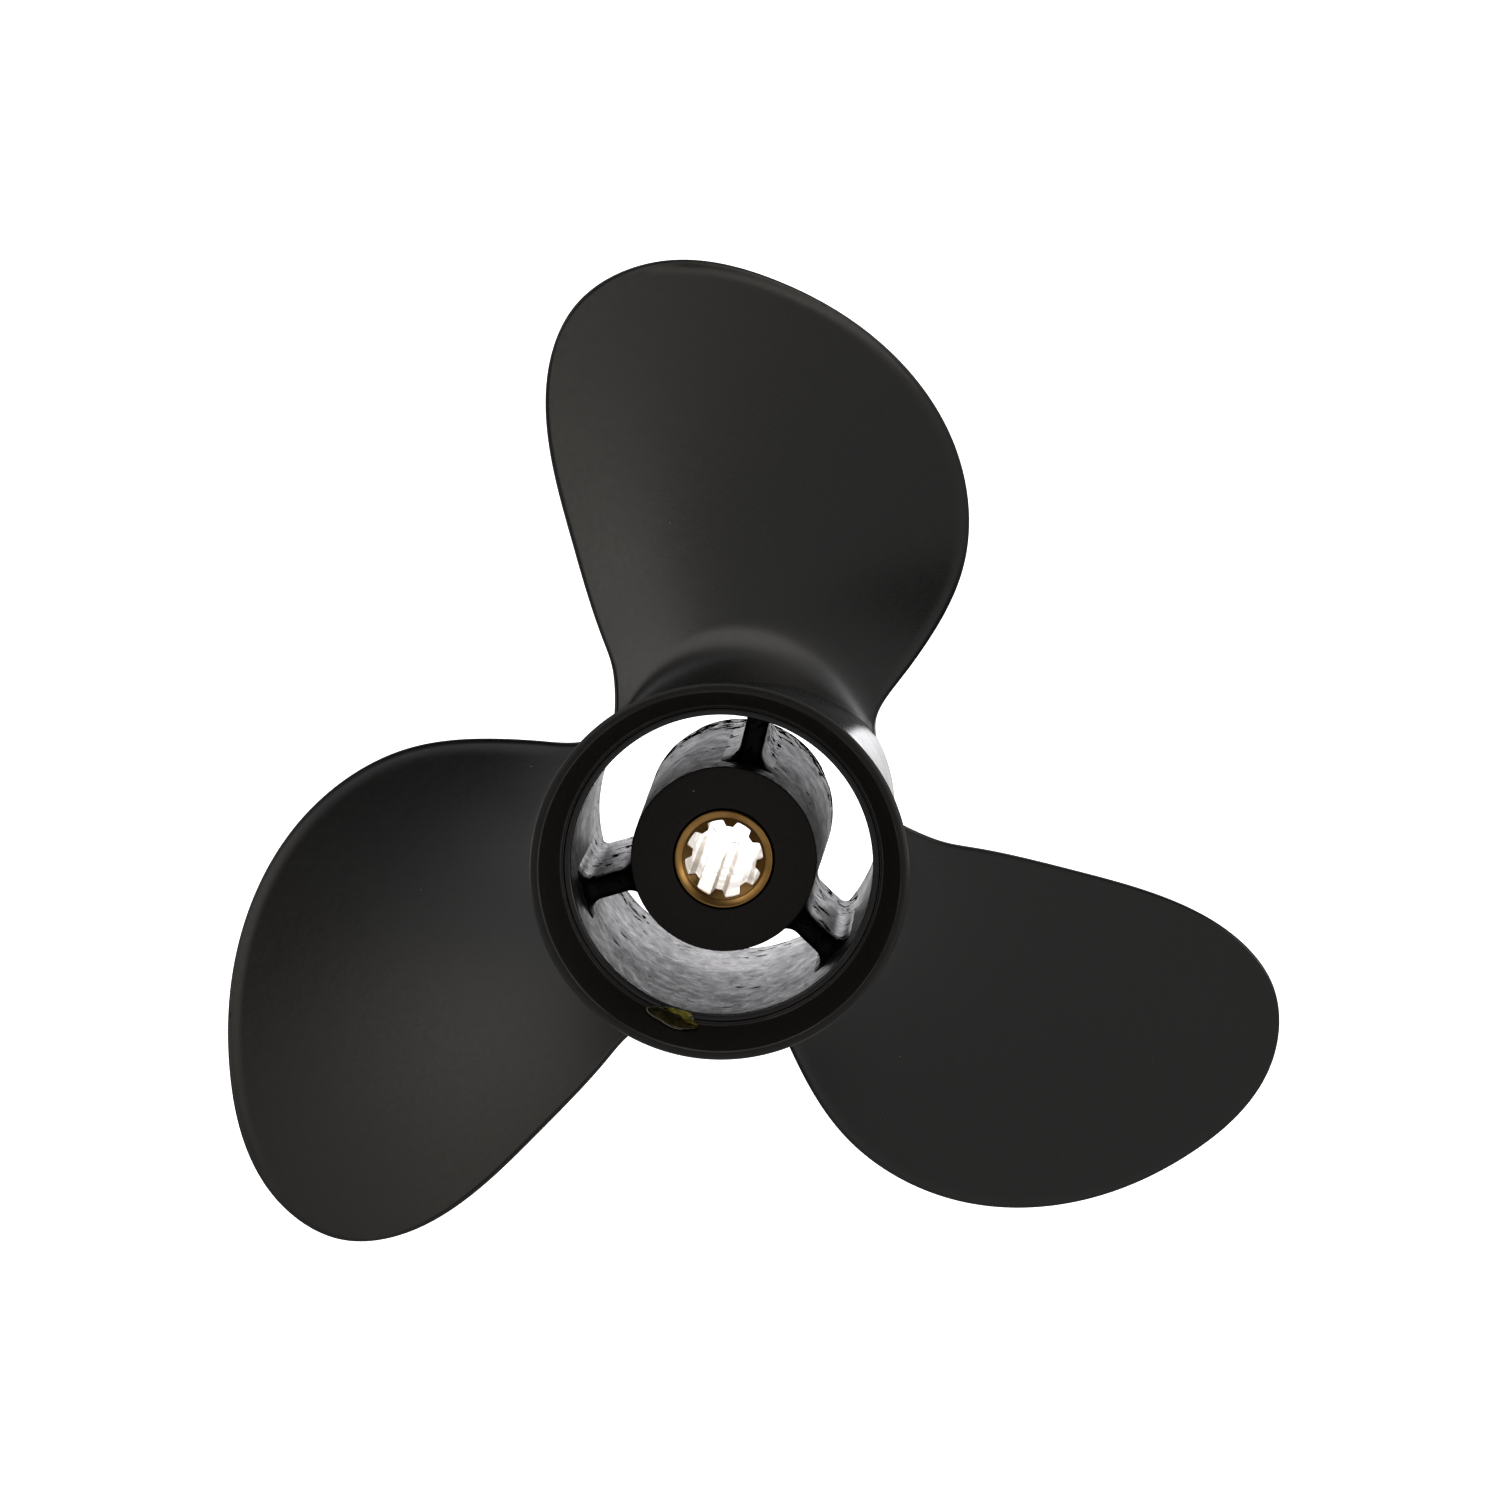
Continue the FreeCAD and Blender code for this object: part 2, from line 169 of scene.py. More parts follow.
def grid_faces(rows, columns, wrap_rows=False, wrap_columns=False, start=0):
    """Quads of a grid of vertices numbered row by row."""
    faces = []
    for i in range(rows if wrap_rows else rows - 1):
        for j in range(columns if wrap_columns else columns - 1):
            i2, j2 = (i + 1) % rows, (j + 1) % columns
            corners = (i * columns + j, i * columns + j2, i2 * columns + j2, i2 * columns + j)
            faces.append(tuple(start + c for c in corners))
    return faces


def rounded(corners, step=0.8):
    """Closed profile through (radius, y, rounding) corners, with arcs at the corners, cut to steps."""
    corners = [np.array(c, float) for c in corners]
    points = []
    for i, corner in enumerate(corners):
        before = corners[i - 1][:2] - corner[:2]
        after = corners[(i + 1) % len(corners)][:2] - corner[:2]
        before, after = before / np.linalg.norm(before), after / np.linalg.norm(after)
        if corner[2] <= 0:
            points.append(corner[:2])
            continue
        half = math.acos(np.clip(before @ after, -1, 1)) / 2
        reach = corner[2] / math.tan(half)
        inward = (before + after) / np.linalg.norm(before + after)
        middle = corner[:2] + inward * corner[2] / math.sin(half)
        start, end = corner[:2] + before * reach - middle, corner[:2] + after * reach - middle
        sweep = math.pi - 2 * half
        for k in range(ARC_STEPS + 1):
            share = k / ARC_STEPS
            mix = start * math.sin((1 - share) * sweep) + end * math.sin(share * sweep)
            points.append(middle + mix / math.sin(sweep))
    dense = []
    for i, point in enumerate(points):
        following = points[(i + 1) % len(points)]
        pieces = max(1, int(np.linalg.norm(following - point) / step))
        dense += [point + (following - point) * k / pieces for k in range(pieces)]
    return np.array(dense)


def lathe(name, profile, body, nodes, materials, pick=None, shift=None):
    """Turned piece from a closed (radius, y) profile; shift roughens it, pick chooses materials."""
    angles = np.arange(ROUND_STEPS) * 360 / ROUND_STEPS
    rows = []
    for radius, y in profile:
        ring = polar(np.full(ROUND_STEPS, radius), angles, y)
        if shift:
            push = np.array([shift(radius, y, *point) for point in ring])
            ring[:, 0] *= 1 + push / radius
            ring[:, 2] *= 1 + push / radius
        rows.append(ring)
    faces = grid_faces(len(profile), ROUND_STEPS, True, True)
    picks = None
    if pick:
        middles = (profile + np.roll(profile, -1, 0)) / 2
        picks = np.repeat([pick(r, y) for r, y in middles], ROUND_STEPS).astype(np.int32)
    return make_piece(name, np.concatenate(rows), faces, body, nodes, materials, picks)


def cast_skin(x, y, z, size, depth, front):
    """Height of a rough cast skin, with pits that thicken towards the front end."""
    first = noise.noise(Vector((x / size, y / size, z / size)))
    second = noise.noise(Vector((x / size * 2.3 + 7, y / size * 2.1, z / size * 2.3)))
    pit = noise.noise(Vector((x / 4.5, y / 1.8 + 31, z / 4.5))) - PIT_LIMIT
    pit += PIT_SPREAD * np.clip((y - front + PIT_START) / PIT_ZONE, 0, 1)
    return depth * (first + 0.5 * second) - PIT_DEPTH * max(pit, 0)


def barrel_outside(y):
    share = (BARREL_FRONT - y) / (BARREL_FRONT - RING_FRONT)
    return BARREL_OUT_FRONT + share * (BARREL_OUT_AFT - BARREL_OUT_FRONT)


def barrel_inside(y):
    share = (BARREL_FRONT - y) / (BARREL_FRONT - BARREL_AFT)
    return BARREL_IN_FRONT + share * (BARREL_IN_AFT - BARREL_IN_FRONT)


def hub_outside(y):
    share = (HUB_FRONT - y) / (HUB_FRONT - HUB_AFT)
    return HUB_OUT_FRONT + share * (HUB_OUT_AFT - HUB_OUT_FRONT)


# ---------------------------------------------------------------- materials

class Tree:
    """Short way to add nodes to a tree and link them."""

    def __init__(self, tree):
        self.tree = tree

    def add(self, kind, inputs=None, **settings):
        node = self.tree.nodes.new(kind)
        for key, value in settings.items():
            setattr(node, key, value)
        for key, value in (inputs or {}).items():
            self.put(node.inputs[key], value)
        return node

    def put(self, socket, value):
        if isinstance(value, bpy.types.NodeSocket):
            self.tree.links.new(value, socket)
        else:
            socket.default_value = value


class Nodes(Tree):
    """Short way to write a node material."""

    def __init__(self, name):
        self.material = bpy.data.materials.new(name)
        self.material.use_nodes = True
        super().__init__(self.material.node_tree)
        self.shader = self.tree.nodes["Principled BSDF"]
        self.place = self.add("ShaderNodeTexCoord").outputs["Object"]

    def set(self, **values):
        for key, value in values.items():
            self.put(self.shader.inputs[key.replace("_", " ")], value)

    def stretched(self, scale):
        return self.add("ShaderNodeMapping", {"Vector": self.place, "Scale": scale}).outputs[0]

    def noise(self, scale, detail=3.0, rough=0.5, vector=None, distortion=0.0):
        node = self.add("ShaderNodeTexNoise", {
            "Vector": vector or self.place, "Scale": scale, "Detail": detail,
            "Roughness": rough, "Distortion": distortion})
        return node.outputs["Fac"]

    def band(self, value, low, high, to_low=0.0, to_high=1.0):
        """Straight change from to_low to to_high as the value goes from low to high."""
        node = self.add("ShaderNodeMapRange", {
            "Value": value, "From Min": low, "From Max": high, "To Min": to_low, "To Max": to_high})
        return node.outputs["Result"]

    def vary(self, texture, low, high):
        """From low to high over a noise texture's usual values."""
        return self.band(texture, 0.3, 0.7, low, high)

    def math(self, operation, first, second=0.0):
        return self.add("ShaderNodeMath", {0: first, 1: second}, operation=operation).outputs[0]

    def mix(self, share, first, second):
        node = self.add("ShaderNodeMix", data_type="RGBA")
        self.put(node.inputs["Factor"], share)
        self.put(node.inputs["A"], first)
        self.put(node.inputs["B"], second)
        return node.outputs["Result"]

    def bump(self, height, distance, normal=None):
        inputs = {"Height": height, "Distance": distance, "Strength": 1.0}
        if normal:
            inputs["Normal"] = normal
        return self.add("ShaderNodeBump", inputs).outputs["Normal"]

    def from_axis(self):
        """Distance along the shaft axis, and the squared distance from it."""
        x, y, z = self.add("ShaderNodeSeparateXYZ", {0: self.place}).outputs
        return y, self.math("ADD", self.math("MULTIPLY", x, x), self.math("MULTIPLY", z, z))

    def specks(self, scale, size, share):
        """1 inside small scattered dots; share is the part of the cells that hold one."""
        cells = self.add("ShaderNodeTexVoronoi", {
            "Vector": self.place, "Scale": scale, "Randomness": 1.0})
        dot = self.band(cells.outputs["Distance"], size, size * 0.6)
        red = self.add("ShaderNodeSeparateColor", {"Color": cells.outputs["Color"]}).outputs[0]
        return self.math("MULTIPLY", dot, self.math("LESS_THAN", red, share))


def rgba(red, green, blue):
    return (red, green, blue, 1.0)


def satin_black():
    """Satin black paint of the blades, with fine grain and a little dust."""
    n = Nodes("satin_black_paint")
    cloud = n.noise(22, 4)
    fine = n.noise(900, 3)
    peel = n.noise(260, 2)
    colour = n.mix(cloud, rgba(0.0095, 0.0092, 0.0090), rgba(0.0145, 0.0138, 0.0132))
    dust = n.specks(330, 0.075, 0.03)
    n.set(Base_Color=n.mix(dust, colour, rgba(0.16, 0.15, 0.13)))
    rough = n.math("ADD", n.vary(cloud, 0.27, 0.34), n.vary(fine, -0.03, 0.03))
    n.set(Roughness=n.math("MAXIMUM", rough, n.math("MULTIPLY", dust, 0.8)))
    n.set(Normal=n.bump(fine, 0.00001, n.bump(peel, 0.00003)))
    return n.material


def gloss_cast(name, smooth, rough, few_pits, many_pits, painted_shade_start):
    """Glossy black paint over a rough cast skin, pitted towards the front end, with painted shade
    in the pits, and dull at the aft end, where it is also darkened as painted shade.
    """
    n = Nodes(name)
    along = n.add("ShaderNodeSeparateXYZ", {0: n.place}).outputs["Y"]
    flow = n.noise(420, 5, 0.6, n.stretched((1.0, 0.45, 1.0)), 0.3)
    scratch = n.noise(480, 4, 0.6, n.stretched((0.3, 1.0, 0.3)), 1.2)
    grain = n.noise(1500, 3)
    fold = n.noise(400, 5, 0.65, n.stretched((0.8, 0.6, 0.8)), 0.8)
    cloud = n.noise(55, 3)
    # Pits: folds above a limit that changes from 18 to 43 mm along the axis; they are real pits, and
    # their near-black colour is painted shade in the hollows
    limit = n.band(along, 18 * MM, 43 * MM, few_pits, many_pits)
    limit = n.math("ADD", limit, n.vary(cloud, 0.05, -0.05))
    pit = n.band(n.math("SUBTRACT", fold, limit), 0.0, 0.012)
    # Painted shade: the paint turns darker and duller over 5 mm towards the aft end
    dull_painted_shade = n.band(along, painted_shade_start * MM, (painted_shade_start - 5) * MM)
    colour = n.mix(flow, rgba(0.010, 0.0095, 0.0095), rgba(0.026, 0.025, 0.026))
    # The pits and the aft end are painted near-black: painted shade
    n.set(Base_Color=n.mix(n.math("MAXIMUM", pit, dull_painted_shade), colour, rgba(0.0025, 0.0022, 0.0020)))
    paint = n.math("ADD", n.vary(flow, smooth, rough), n.vary(cloud, -0.04, 0.05))
    n.set(Roughness=n.math("MAXIMUM", paint, n.math("MAXIMUM", pit, n.math("MULTIPLY", dull_painted_shade, 0.55))))
    shine = n.math("MULTIPLY", n.band(pit, 0.0, 1.0, 0.5, 0.0), n.band(dull_painted_shade, 0.0, 1.0, 1.0, 0.45))
    n.set(Specular_IOR_Level=shine)
    fine = n.bump(grain, 0.00004, n.bump(scratch, 0.00008))
    n.set(Normal=n.bump(pit, -0.0004, n.bump(flow, 0.00025, fine)))
    return n.material


def smooth_gloss():
    """Smoother gloss of the paint on the barrel's outside, faintly mottled."""
    n = Nodes("smooth_gloss_paint")
    cloud = n.noise(60, 4, 0.6)
    peel = n.noise(300, 2)
    n.set(Base_Color=n.mix(cloud, rgba(0.010, 0.010, 0.010), rgba(0.017, 0.016, 0.018)))
    n.set(Roughness=n.vary(cloud, 0.20, 0.34), Normal=n.bump(peel, 0.00004))
    return n.material


def matte_ring():
    """Matte black of the diffuser ring and the hub's end face, satin outside with a painted sheen,
    and with painted highlight lines at its edges.
    """
    n = Nodes("matte_black_paint")
    cloud = n.noise(40, 3)
    fine = n.noise(1300, 2)
    dust = n.specks(330, 0.085, 0.03)
    along, squared = n.from_axis()
    radius = n.math("SQRT", squared)
    colour = n.mix(cloud, rgba(0.0042, 0.0030, 0.0020), rgba(0.0062, 0.0046, 0.0033))
    # The outside beyond the crest is satin, and its lighter colour is a painted sheen
    outer = n.band(radius, (RING_CREST + 0.3) * MM, (RING_CREST + 0.7) * MM)
    colour = n.mix(outer, colour, rgba(0.0115, 0.0110, 0.0105))
    # Painted highlight lines along the edges, in the throat and broken up
    edge_glint = 0.0
    glint_edges = ((RING_CREST + 0.3, 0.16), (SPIGOT_RADIUS + 0.65, 0.12), (SPIGOT_RADIUS + 0.1, 0.10))
    for edge, width in glint_edges:
        gap = n.math("ABSOLUTE", n.math("SUBTRACT", radius, edge * MM))
        edge_glint = n.math("ADD", edge_glint, n.band(gap, width * MM, 0.3 * width * MM))
    edge_glint = n.math("MULTIPLY", edge_glint, n.band(n.noise(70, 3), 0.35, 0.6, 0.25, 1.0))
    throat = n.math("MAXIMUM", n.band(along, (RING_AFT + 1.4) * MM, (RING_AFT + 0.9) * MM),
                    n.math("LESS_THAN", radius, (SPIGOT_RADIUS + 1.2) * MM))
    edge_glint = n.math("MULTIPLY", edge_glint, throat)
    # The painted highlight lines are light grey
    colour = n.mix(edge_glint, colour, rgba(0.080, 0.075, 0.070))
    n.set(Base_Color=n.mix(dust, colour, rgba(0.14, 0.12, 0.10)))
    rough = n.math("SUBTRACT", n.vary(fine, 0.52, 0.66), n.math("MULTIPLY", outer, 0.16))
    n.set(Roughness=n.math("SUBTRACT", rough, n.math("MULTIPLY", edge_glint, 0.2)), Specular_IOR_Level=0.36)
    n.set(Normal=n.bump(fine, 0.000015))
    return n.material


def bronze():
    """Machined bronze of the sleeve, with turning marks, a little tarnish and a bore painted
    near-white as a painted reflection.
    """
    n = Nodes("machined_bronze")
    tarnish = n.noise(160, 4)
    turned = n.noise(900, 2, 0.5, n.stretched((0.15, 6.0, 0.15)))
    along, squared = n.from_axis()
    # The bore is painted near-white as a painted reflection of the bright surroundings, from just behind
    # the lead-in cone
    inside = n.band(squared, (8.3 * MM) ** 2, (7.9 * MM) ** 2)
    deep = n.band(along, (SLEEVE_AFT + 2.0) * MM, (SLEEVE_AFT + 3.4) * MM)
    colour = n.mix(n.band(tarnish, 0.35, 0.7), rgba(0.53, 0.31, 0.10), rgba(0.33, 0.17, 0.052))
    n.set(Base_Color=n.mix(n.math("MULTIPLY", inside, deep), colour, rgba(0.93, 0.88, 0.80)))
    n.set(Metallic=1.0, Roughness=n.vary(tarnish, 0.26, 0.42))
    n.set(Normal=n.bump(turned, 0.00002))
    return n.material


def rubber():
    """Moulded black rubber of the bush."""
    n = Nodes("moulded_rubber")
    cloud = n.noise(120, 4)
    fine = n.noise(1100, 2)
    n.set(Base_Color=n.mix(cloud, rgba(0.010, 0.010, 0.010), rgba(0.022, 0.021, 0.020)))
    n.set(Roughness=n.vary(cloud, 0.62, 0.8), Normal=n.bump(fine, 0.00003))
    return n.material


# ---------------------------------------------------------------- turned pieces

def build_barrel(outer, gloss):
    """Exhaust barrel: smooth gloss outside, glossy cast skin inside."""
    mouth_end = BARREL_FRONT - MOUTH_LENGTH
    profile = rounded([
        (MOUTH_RADIUS, BARREL_FRONT, 0.5), (BARREL_OUT_FRONT, BARREL_FRONT, 0.8),
        (BARREL_OUT_AFT, RING_FRONT, 0.0), (SPIGOT_RADIUS, RING_FRONT, 0.0),
        (SPIGOT_RADIUS, BARREL_AFT, 0.25), (BARREL_IN_AFT, BARREL_AFT, 0.5),
        (barrel_inside(mouth_end), mouth_end, 0.15), (MOUTH_RADIUS, mouth_end, 0.15)])

    def is_inside(radius, y):
        return 1 if radius < SKIN_EDGE and BARREL_AFT + 0.8 < y < BARREL_FRONT - 0.8 else 0

    def skin(radius, y, *point):
        if radius > SKIN_EDGE or y > mouth_end - 0.5:
            return 0.0
        # The skin is smooth at both ends
        ends = min(1.0, max(0.0, (y - BARREL_AFT - 1) / 8), (mouth_end - y) / 2)
        return -cast_skin(*point, 6.0, 0.033, mouth_end) * ends

    return lathe("barrel_shell", profile, "propeller", ["exhaust_barrel"],
                 [outer, gloss], is_inside, skin)


def build_ring(matte):
    """Diffuser ring with its conical throat, round lip and flared outside."""
    seat = RING_FRONT - 0.02
    length = seat - RING_AFT - FLARE_END
    flare = [(BARREL_OUT_AFT + FLARE_OUT * s ** FLARE_POWER, seat - s * length, 0.0)
             for s in np.linspace(0.08, 1.0, 14)]
    corners = [(SPIGOT_RADIUS, seat, 0.1), (BARREL_OUT_AFT, seat, 0.15)] + flare + [
        (RING_RADIUS, RING_AFT + 0.75, 0.0), (RING_RADIUS - 0.35, RING_AFT + 0.25, 0.0),
        (RING_RADIUS - 0.85, RING_AFT, 0.0), (RING_CREST + 0.45, RING_AFT + 0.06, 0.1),
        (RING_CREST + 0.15, RING_AFT + 0.45, 0.1), (SPIGOT_RADIUS + 0.65, BARREL_AFT - 0.75, 0.12),
        (SPIGOT_RADIUS + 0.1, BARREL_AFT - 0.35, 0.12)]
    return lathe("flare_ring", rounded(corners), "propeller", ["diffuser_ring"], [matte])


def build_hub(matte, gloss):
    """Inner hub: glossy cast outside, matte machined end face."""
    profile = rounded([
        (HUB_BORE, HUB_FRONT, 0.5), (HUB_OUT_FRONT, HUB_FRONT, 0.8), (HUB_OUT_AFT, HUB_AFT, 0.35),
        (HUB_EYE, HUB_AFT, 0.3), (HUB_EYE, HUB_AFT + HUB_WALL, 0.1),
        (HUB_BORE, HUB_AFT + HUB_WALL, 0.0)])

    def is_outside(radius, y):
        return 1 if radius > 17.0 and y > HUB_AFT + 0.6 else 0

    def skin(radius, y, *point):
        if radius < 18.0:
            return 0.0
        # The skin is smooth by the machined end face
        ends = min(1.0, max(0.0, (y - HUB_AFT - 1.5) / 10))
        return cast_skin(*point, 5.0, 0.07, HUB_FRONT) * ends

    return lathe("hub_tube", profile, "propeller", ["inner_hub"],
                 [matte, gloss], is_outside, skin)


def build_bush(material):
    """Rubber bush between the hub and the sleeve."""
    profile = rounded([
        (BUSH_INSIDE, BUSH_AFT, 0.4), (BUSH_RADIUS, BUSH_AFT, 0.8),
        (BUSH_RADIUS, BUSH_FRONT, 1.2), (BUSH_INSIDE, BUSH_FRONT, 0.4)])
    return lathe("bush_body", profile, "bush", ["rubber_bush"], [material])


def build_sleeve(material):
    """Splined sleeve: rounded teeth inside, cut back by a cone at each end, and a dished aft face."""
    columns = TEETH * TOOTH_STEPS
    angles = np.arange(columns) * 360 / columns
    swing = np.abs((angles - FIRST_GROOVE + 180 / TEETH) % (360 / TEETH) - 180 / TEETH)
    rise = np.clip((swing - GROOVE_HALF) / TOOTH_FLANK, 0, 1)
    rise = rise * rise * (3 - 2 * rise)
    spline = SPLINE_MAJOR + (SPLINE_MINOR - SPLINE_MAJOR) * rise
    outer = rounded([(SLEEVE_RADIUS - 1.5, SLEEVE_FRONT, 0), (SLEEVE_RADIUS, SLEEVE_FRONT, 0.4),
                     (SLEEVE_RADIUS, SLEEVE_AFT, 0.35), (SLEEVE_RADIUS - 1.5, SLEEVE_AFT, 0)], 2.0)
    outer = outer[outer[:, 0] > SLEEVE_RADIUS - 1.0]    # without the profile's closing side
    rows = [polar(np.full(columns, r), angles, y) for r, y in outer]
    rows += [polar(np.full(columns, r), angles, SLEEVE_AFT + y) for r, y in SLEEVE_LIP]
    # Rows of the bore are close together in the cones
    inner = np.concatenate([SLEEVE_AFT + np.linspace(LEAD_IN_DEPTH, 2.4, 15), np.linspace(-27, 40, 40),
                            SLEEVE_FRONT - np.linspace(3.2, 0.0, 14)])
    for y in inner:
        aft_cone = LEAD_IN_RADIUS - (y - SLEEVE_AFT - LEAD_IN_DEPTH) * LEAD_IN_SLOPE
        front_cone = EXIT_RADIUS - (SLEEVE_FRONT - y) * EXIT_SLOPE
        rows.append(polar(np.maximum(spline, max(aft_cone, front_cone)), angles, y))
    faces = grid_faces(len(rows), columns, True, True)
    return make_piece("spline_sleeve", np.concatenate(rows), faces, "sleeve",
                      ["splined_sleeve"], [material])


# ---------------------------------------------------------------- ribs

def build_rib(index, material):
    """A rib with round ends, flared where it meets the hub and the barrel."""
    steps = np.concatenate([np.linspace(-0.03, 0.3, 12), np.linspace(0.36, 0.64, 5),
                            np.linspace(0.7, 1.03, 12)])
    span = BARREL_IN_AFT - HUB_OUT_AFT
    rows = []
    for step in steps:
        away = min(max(min(step, 1 - step) * span, 0), RIB_FLARE)
        flare = RIB_FLARE - math.sqrt(RIB_FLARE ** 2 - (RIB_FLARE - away) ** 2)
        half, low, high = RIB_THICK / 2 + flare, RIB_AFT - flare, RIB_FRONT + flare
        turns = np.radians(np.linspace(0, 90, 9))
        sides, places = [], []
        for sign_x, sign_y, order in ((1, 1, 1), (-1, 1, -1), (-1, -1, 1), (1, -1, -1)):
            arc = turns[::order]
            centre_y = high - RIB_CORNER if sign_y > 0 else low + RIB_CORNER
            sides += list(sign_x * (half - RIB_CORNER + RIB_CORNER * np.cos(arc)))
            places += list(centre_y + sign_y * RIB_CORNER * np.sin(arc))
            if order == -1:
                stretch = np.linspace(high - RIB_CORNER, low + RIB_CORNER, 30)[1:-1]
                stretch = stretch if sign_x < 0 else stretch[::-1]
                sides += [sign_x * half] * len(stretch)
                places += list(stretch)
        sides, places = np.array(sides), np.array(places)
        inside = np.array([hub_outside(y) for y in places])
        outside = np.array([barrel_inside(y) for y in places])
        radius = inside + step * (outside - inside)
        angle = RIB_FIRST + index * 120 + np.degrees(np.arcsin(sides / radius))
        rows.append(polar(radius, angle, places))
    columns = len(rows[0])
    faces = grid_faces(len(rows), columns, False, True)
    faces.append(tuple(range(columns)))
    faces.append(tuple(reversed(range(columns * (len(rows) - 1), columns * len(rows)))))
    return make_piece(f"rib_web_{index + 1}", np.concatenate(rows), faces, "propeller",
                      [f"rib_{index + 1}"], [material])


# ---------------------------------------------------------------- blades

def spline_curve(points, count):
    """Natural cubic spline through points, by chord length, sampled evenly in that length."""
    points = np.array(points, float)
    places = np.concatenate([[0], np.cumsum(np.linalg.norm(np.diff(points, axis=0), axis=1))])
    gaps = np.diff(places)
    size = len(points)
    system, right = np.eye(size), np.zeros((size, points.shape[1]))
    for i in range(1, size - 1):
        system[i, i - 1:i + 2] = gaps[i - 1], 2 * (gaps[i - 1] + gaps[i]), gaps[i]
        after, before = points[i + 1] - points[i], points[i] - points[i - 1]
        right[i] = 6 * (after / gaps[i] - before / gaps[i - 1])
    bend = np.linalg.solve(system, right)
    samples = np.linspace(0, places[-1], count)
    cell = np.clip(np.searchsorted(places, samples) - 1, 0, size - 2)
    gap = gaps[cell][:, None]
    after, before = (places[cell + 1] - samples)[:, None], (samples - places[cell])[:, None]
    first, second = bend[cell], bend[cell + 1]
    a, b = points[cell] / gap - first * gap / 6, points[cell + 1] / gap - second * gap / 6
    return first * after ** 3 / (6 * gap) + second * before ** 3 / (6 * gap) + a * after + b * before


def base_y(radius, angle):
    """Axial place of a blade's aft face: a raked helicoid."""
    out = radius - BARREL_OUT_AFT
    return PITCH * angle / 360 + RAKE_ROOT + RAKE_SLOPE * out + RAKE_CURVE * out * out


def blade_faces(radius, angle, rim_distance):
    """Axial places of the aft and forward faces, with thickness, root fillets and a thinner rim."""
    out = radius - BARREL_OUT_AFT
    trailing, leading = TRAIL_ANGLE + TRAIL_SLOPE * out, LEAD_ANGLE - LEAD_CURVE * out * out
    chord = (angle - trailing) / (leading - trailing)
    fullness = np.maximum(4 * chord * (1 - chord), 0)
    share = np.clip(out / (TIP_RADIUS - BARREL_OUT_AFT), 0, 1.05)
    thick = THICK_ROOT + (THICK_TIP - THICK_ROOT) * share ** 0.75
    lean = np.cos(np.arctan(PITCH / (2 * math.pi * radius)))
    y = base_y(radius, angle)
    rise = np.maximum(radius - barrel_outside(y), 0)

    def spread(size_middle):
        size = FILLET_EDGE + (size_middle - FILLET_EDGE) * np.maximum(fullness, 0)
        up = np.clip((rise + 0.1) / size, 0, 1)
        return size * (1 - np.sqrt(np.maximum(1 - (1 - up) ** 2, 0)))

    near_rim = np.sqrt(np.clip(rim_distance / RIM_TAPER, 0, 1))
    # The roll-off is on the leading half and clear of the root
    leading_side = np.clip((chord - 0.45) / 0.2, 0, 1) * np.clip((rise - 4) / 8, 0, 1)
    roll = LEAD_ROLL * np.clip(1 - rim_distance / LEAD_ROLL_WIDTH, 0, 1) ** 2 * leading_side

    aft = y - spread(FILLET_AFT) / lean + roll
    section = THICK_EDGE + (thick - THICK_EDGE) * fullness
    section = RIM_THICK + (section - RIM_THICK) * near_rim
    return aft, y + (section + spread(FILLET_FRONT)) / lean


def blade_domain(across, up):
    """Grid over the blade's outline as seen along the shaft: root first, trailing edge first."""
    xz = [(r * math.sin(math.radians(a)), r * math.cos(math.radians(a))) for r, a in OUTLINE]
    curve = spline_curve(xz, OUTLINE_STEPS)
    radius = np.hypot(curve[:, 0], curve[:, 1])
    curve = curve[radius > BLADE_ROOT]
    step = np.linalg.norm(np.diff(curve, axis=0), axis=1)
    tangent = np.gradient(curve, axis=0)
    tangent /= np.linalg.norm(tangent, axis=1)[:, None]
    outward = np.stack([-tangent[:, 1], tangent[:, 0]], -1)
    inset = curve - outward * RIM_REACH
    length = np.concatenate([[0], np.cumsum(step)])
    radius = np.hypot(curve[:, 0], curve[:, 1])
    top = radius.argmax()
    left_corner = np.abs(length - (length[top] - TIP_TRAIL)).argmin()
    right_corner = np.abs(length - (length[top] + TIP_LEAD)).argmin()

    def part(first, last, count, power=1.0):
        """Points along a stretch of the rim, with their places in the curve."""
        places = length[first] + (length[last] - length[first]) * np.linspace(0, 1, count) ** power
        picks = np.interp(places, length, np.arange(len(length)))
        line = [np.interp(picks, np.arange(len(length)), inset[:, k]) for k in (0, 1)]
        return np.stack(line, -1), picks

    left, left_picks = part(0, left_corner, up, ROOT_CROWD)
    back, right_picks = part(len(curve) - 1, right_corner, up, ROOT_CROWD)
    tip, tip_picks = part(left_corner, right_corner, across)
    ends = [math.degrees(math.atan2(*inset[k])) for k in (0, -1)]
    reach = [math.hypot(*inset[k]) for k in (0, -1)]
    turn = np.radians(np.linspace(ends[0], ends[1], across))
    ring = np.linspace(reach[0], reach[1], across)
    base = np.stack([ring * np.sin(turn), ring * np.cos(turn)], -1)
    u = np.linspace(0, 1, across)[None, :, None]
    v = np.linspace(0, 1, up)[:, None, None]
    grid = ((1 - u) * left[:, None] + u * back[:, None] + (1 - v) * base[None] + v * tip[None]
            - (1 - u) * (1 - v) * left[0] - u * (1 - v) * back[0]
            - (1 - u) * v * left[-1] - u * v * back[-1])
    return grid, curve, outward, (left_picks, tip_picks, right_picks)


